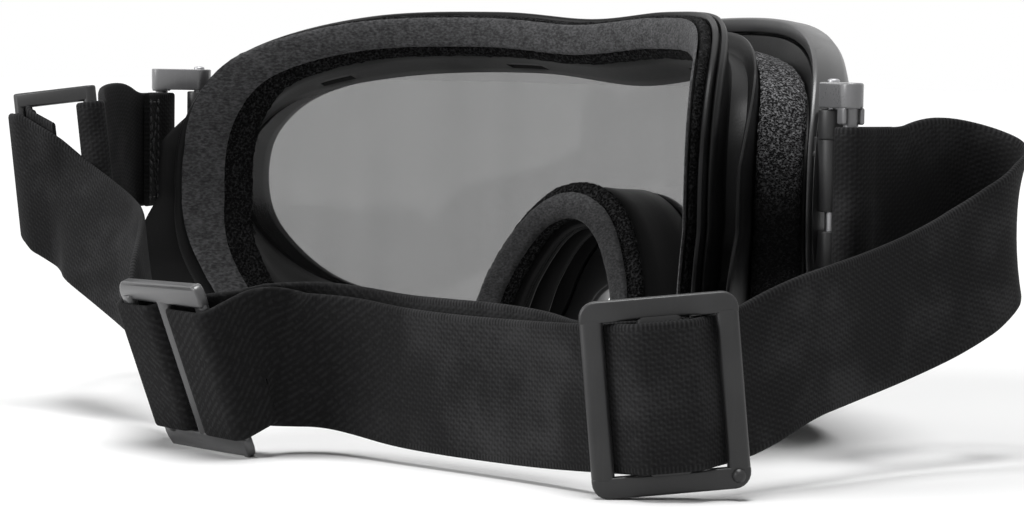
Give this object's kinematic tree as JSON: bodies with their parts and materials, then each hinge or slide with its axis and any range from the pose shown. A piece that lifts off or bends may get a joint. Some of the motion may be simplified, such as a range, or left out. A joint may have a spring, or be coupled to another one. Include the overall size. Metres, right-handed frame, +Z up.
{
  "type": "tactical goggles",
  "caption": "Wraparound protective goggles with a single smoke lens, soft vented frame and face foam, hinged strap clips and an elastic strap with sliders.",
  "frame": {"origin": "on the floor under the middle of the whole object's bounding box", "axes": "+Z up, -Y the way the lens looks, +X to the wearer's left"},
  "size_m": [0.2305, 0.158, 0.0886],
  "materials": {
    "hard_plastic": "satin",
    "soft_frame": "matte",
    "smoke_lens": "polished",
    "foam": "matte",
    "webbing": "matte",
    "buckle_plastic": "satin",
    "pin_steel": "brushed"
  },
  "bodies": {
    "goggles": {"frame_body": "soft_frame", "front_frame": "hard_plastic", "lens": "smoke_lens", "lens_gasket": "soft_frame", "face_foam": "foam", "face_facing": "foam", "top_vent_foam": "foam", "left_vent_foam": "foam", "right_vent_foam": "foam", "lower_left_vent_foam": "foam", "lower_right_vent_foam": "foam", "left_clip_base": "buckle_plastic", "right_clip_base": "buckle_plastic", "left_hinge_pin": "pin_steel", "right_hinge_pin": "pin_steel", "anchor_strap": "webbing", "side_strap": "webbing", "main_strap": "webbing"},
    "right_clip": {"right_strap_clip": "buckle_plastic"},
    "left_clip": {"left_strap_clip": "buckle_plastic"},
    "ring": {"ring_buckle": "buckle_plastic"},
    "link": {"link_slider": "buckle_plastic"},
    "adjuster": {"adjust_slider": "buckle_plastic"}
  },
  "joints": [
    {"name": "right_clip_hinge", "type": "hinge", "parent": "goggles", "child": "right_clip", "pos_m": [-0.0851, -0.01968, 0.0502], "axis": [0, 0, 1], "range_deg": [-45, 40], "deforming": ["main_strap"]},
    {"name": "left_clip_hinge", "type": "hinge", "parent": "goggles", "child": "left_clip", "pos_m": [0.1041, -0.01968, 0.0502], "axis": [0, 0, 1], "range_deg": [-40, 45], "deforming": ["anchor_strap"]},
    {"name": "ring_pivot", "type": "hinge", "parent": "goggles", "child": "ring", "pos_m": [0.07349, 0.03627, 0.05374], "axis": [0.1113, 0.0496, 0.9925], "range_deg": [-12, 12], "deforming": ["side_strap"]},
    {"name": "link_pivot", "type": "hinge", "parent": "goggles", "child": "link", "pos_m": [0.01704, 0.06808, 0.01692], "axis": [0.0468, 0.3553, 0.9336], "range_deg": [-8, 12], "deforming": ["main_strap", "side_strap"]},
    {"name": "adjust_slide", "type": "slide", "parent": "goggles", "child": "adjuster", "axis": [0.7039, 0.7039, -0.0958], "range_m": [-0.006, 0.006], "deforming": ["main_strap"]}
  ]
}
